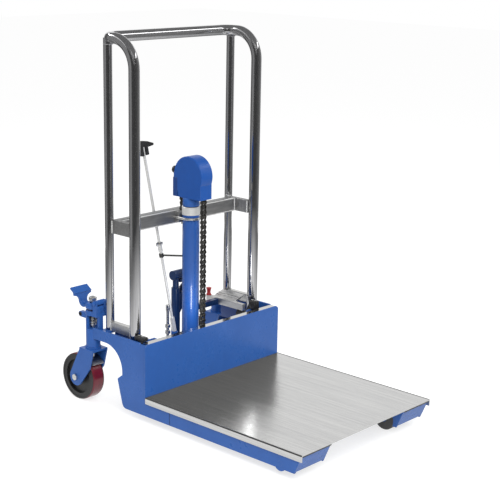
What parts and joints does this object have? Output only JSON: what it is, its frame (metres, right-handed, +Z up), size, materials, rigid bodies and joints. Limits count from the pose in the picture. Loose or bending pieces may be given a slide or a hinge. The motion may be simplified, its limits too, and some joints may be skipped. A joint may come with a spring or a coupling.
{
  "type": "portable hydraulic lift",
  "caption": "Light platform lift on casters: a steel deck and apron rise on a tube mast, lifted by a foot-pumped cylinder through a roller chain, with a release rod.",
  "frame": {"origin": "middle of the lift's footprint, on the floor", "axes": "+Z up, -Y towards the deck, +Y towards the operator behind the mast, +X to the operator's left"},
  "size_m": [0.636, 0.998, 1.1558],
  "materials": {
    "blue_paint": "gloss",
    "navy_paint": "gloss",
    "chrome_tube": "polished",
    "deck_steel": "brushed",
    "bare_steel": "satin",
    "zinc": "satin",
    "chain_steel": "oiled",
    "roller_plastic": "matte",
    "wheel_core": "matte",
    "wheel_tread": "satin",
    "black_plastic": "matte"
  },
  "bodies": {
    "base": {"base_plate": "blue_paint", "load_axles": "zinc", "mast_frame": "chrome_tube", "rear_uprights": "chrome_tube", "mid_bar": "bare_steel", "lower_ties": "bare_steel", "cylinder_barrel": "blue_paint", "gland_nut": "zinc", "chain_anchor": "zinc", "chain_rear": "chain_steel", "u_bolt": "zinc", "valve_block": "blue_paint", "valve_stem": "zinc", "pump_body": "navy_paint", "rod_guide": "zinc", "leg_right": "blue_paint", "side_plate_right": "blue_paint", "caster_post_right": "blue_paint", "leg_left": "blue_paint", "side_plate_left": "blue_paint", "caster_post_left": "blue_paint", "caster_pin_left": "zinc"},
    "carriage": {"deck_plate": "deck_steel", "apron_panel": "blue_paint", "apron_ledge": "deck_steel", "deck_frame": "blue_paint", "roller_axles": "zinc", "chain_lug": "blue_paint", "guide_bracket_right": "blue_paint", "guide_bracket_left": "blue_paint"},
    "ram": {"ram_rod": "chrome_tube", "chain_yoke": "blue_paint", "wheel_axle": "zinc", "chain_hood": "blue_paint", "chain_wrap": "chain_steel", "chain_front": "chain_steel"},
    "chain_wheel": {"chain_wheel": "chain_steel"},
    "pump_plunger": {"pump_plunger": "navy_paint"},
    "foot_pedal": {"pedal_lever": "navy_paint", "pedal_pad": "bare_steel"},
    "release_lever": {"release_rod": "zinc", "release_handle": "black_plastic"},
    "guide_roller_low_right": {"guide_roller_low_right": "roller_plastic"},
    "guide_roller_high_right": {"guide_roller_high_right": "roller_plastic"},
    "load_wheel_right": {"load_wheel_right": "roller_plastic"},
    "caster_swivel_right": {"caster_fork_right": "blue_paint", "caster_axle_right": "zinc"},
    "caster_roll_right": {"caster_wheel_right": "wheel_core", "caster_tread_right": "wheel_tread"},
    "guide_roller_low_left": {"guide_roller_low_left": "roller_plastic"},
    "guide_roller_high_left": {"guide_roller_high_left": "roller_plastic"},
    "load_wheel_left": {"load_wheel_left": "roller_plastic"},
    "caster_swivel_left": {"caster_fork_left": "blue_paint", "caster_axle_left": "zinc"},
    "caster_roll_left": {"caster_wheel_left": "wheel_core", "caster_tread_left": "wheel_tread"},
    "brake_shoe_right": {"brake_shoe_right": "zinc"},
    "brake_rod_right": {"brake_rod_right": "zinc"},
    "brake_pedal_right": {"brake_pedal_right": "blue_paint"}
  },
  "joints": [
    {"name": "platform_lift", "type": "slide", "parent": "base", "child": "carriage", "axis": [0, 0, 1], "range_m": [0, 0.8], "deforming": ["chain_front", "chain_wrap", "chain_rear"]},
    {"name": "ram_slide", "type": "slide", "parent": "base", "child": "ram", "axis": [0, 0, 1], "range_m": [0, 0.4]},
    {"name": "chain_wheel_turn", "type": "hinge", "parent": "ram", "child": "chain_wheel", "pos_m": [0, 0.218, 0.71081], "axis": [1, 0, 0], "range_deg": [-510, 0]},
    {"name": "foot_pedal_press", "type": "hinge", "parent": "base", "child": "foot_pedal", "pos_m": [0.062, 0.294, 0.345], "axis": [0, 1, 0], "range_deg": [0, 15], "stiffness_Nm_per_rad": 6, "springref_deg": -22.92},
    {"name": "pump_stroke", "type": "slide", "parent": "base", "child": "pump_plunger", "axis": [0, 0, 1], "range_m": [0, 0.0135]},
    {"name": "release_turn", "type": "hinge", "parent": "base", "child": "release_lever", "pos_m": [-0.023, 0.276, 0.1953], "axis": [-0.143, 0.085, 0.9861], "range_deg": [0, 45], "stiffness_Nm_per_rad": 0.2, "springref_deg": -4.58},
    {"name": "guide_roller_low_right_turn", "type": "hinge", "parent": "carriage", "child": "guide_roller_low_right", "pos_m": [-0.22815, 0.2, 0.12], "axis": [0, 1, 0], "range_deg": [-2760, 0]},
    {"name": "guide_roller_high_right_turn", "type": "hinge", "parent": "carriage", "child": "guide_roller_high_right", "pos_m": [-0.22815, 0.2, 0.215], "axis": [0, 1, 0], "range_deg": [-2760, 0]},
    {"name": "load_wheel_right_turn", "type": "hinge", "parent": "base", "child": "load_wheel_right", "pos_m": [-0.198, -0.419, 0.0375], "axis": [1, 0, 0], "continuous": true},
    {"name": "caster_right_swivel", "type": "hinge", "parent": "base", "child": "caster_swivel_right", "pos_m": [-0.28, 0.374, 0.178], "axis": [0, 0, 1], "continuous": true},
    {"name": "caster_right_turn", "type": "hinge", "parent": "caster_swivel_right", "child": "caster_roll_right", "pos_m": [-0.28, 0.424, 0.075], "axis": [1, 0, 0], "continuous": true},
    {"name": "brake_pedal_right_press", "type": "hinge", "parent": "base", "child": "brake_pedal_right", "pos_m": [-0.28, 0.344, 0.33], "axis": [-1, 0, 0], "range_deg": [0, 4.98]},
    {"name": "brake_rod_right_slide", "type": "slide", "parent": "base", "child": "brake_rod_right", "axis": [0, 0, -1], "range_m": [0, 0.00402]},
    {"name": "brake_shoe_right_turn", "type": "hinge", "parent": "caster_swivel_right", "child": "brake_shoe_right", "pos_m": [-0.28, 0.396, 0.162], "axis": [1, 0, 0], "range_deg": [0, 10.45]},
    {"name": "guide_roller_low_left_turn", "type": "hinge", "parent": "carriage", "child": "guide_roller_low_left", "pos_m": [0.22815, 0.2, 0.12], "axis": [0, 1, 0], "range_deg": [0, 2760]},
    {"name": "guide_roller_high_left_turn", "type": "hinge", "parent": "carriage", "child": "guide_roller_high_left", "pos_m": [0.22815, 0.2, 0.215], "axis": [0, 1, 0], "range_deg": [0, 2760]},
    {"name": "load_wheel_left_turn", "type": "hinge", "parent": "base", "child": "load_wheel_left", "pos_m": [0.198, -0.419, 0.0375], "axis": [1, 0, 0], "continuous": true},
    {"name": "caster_left_swivel", "type": "hinge", "parent": "base", "child": "caster_swivel_left", "pos_m": [0.28, 0.374, 0.178], "axis": [0, 0, 1], "continuous": true},
    {"name": "caster_left_turn", "type": "hinge", "parent": "caster_swivel_left", "child": "caster_roll_left", "pos_m": [0.28, 0.424, 0.075], "axis": [1, 0, 0], "continuous": true}
  ],
  "couplings": [
    {"joint": "ram_slide", "follows": "platform_lift", "ratio": 0.5},
    {"joint": "chain_wheel_turn", "follows": "platform_lift", "rad_per_m": -10.938},
    {"joint": "pump_stroke", "follows": "foot_pedal_press", "m_per_rad": 0.05},
    {"joint": "guide_roller_low_right_turn", "follows": "platform_lift", "rad_per_m": -58.824},
    {"joint": "guide_roller_high_right_turn", "follows": "platform_lift", "rad_per_m": -58.824},
    {"joint": "brake_rod_right_slide", "follows": "brake_pedal_right_press", "m_per_rad": 0.046061},
    {"joint": "brake_shoe_right_turn", "follows": "brake_pedal_right_press", "ratio": 2.0937},
    {"joint": "guide_roller_low_left_turn", "follows": "platform_lift", "rad_per_m": 58.824},
    {"joint": "guide_roller_high_left_turn", "follows": "platform_lift", "rad_per_m": 58.824}
  ]
}
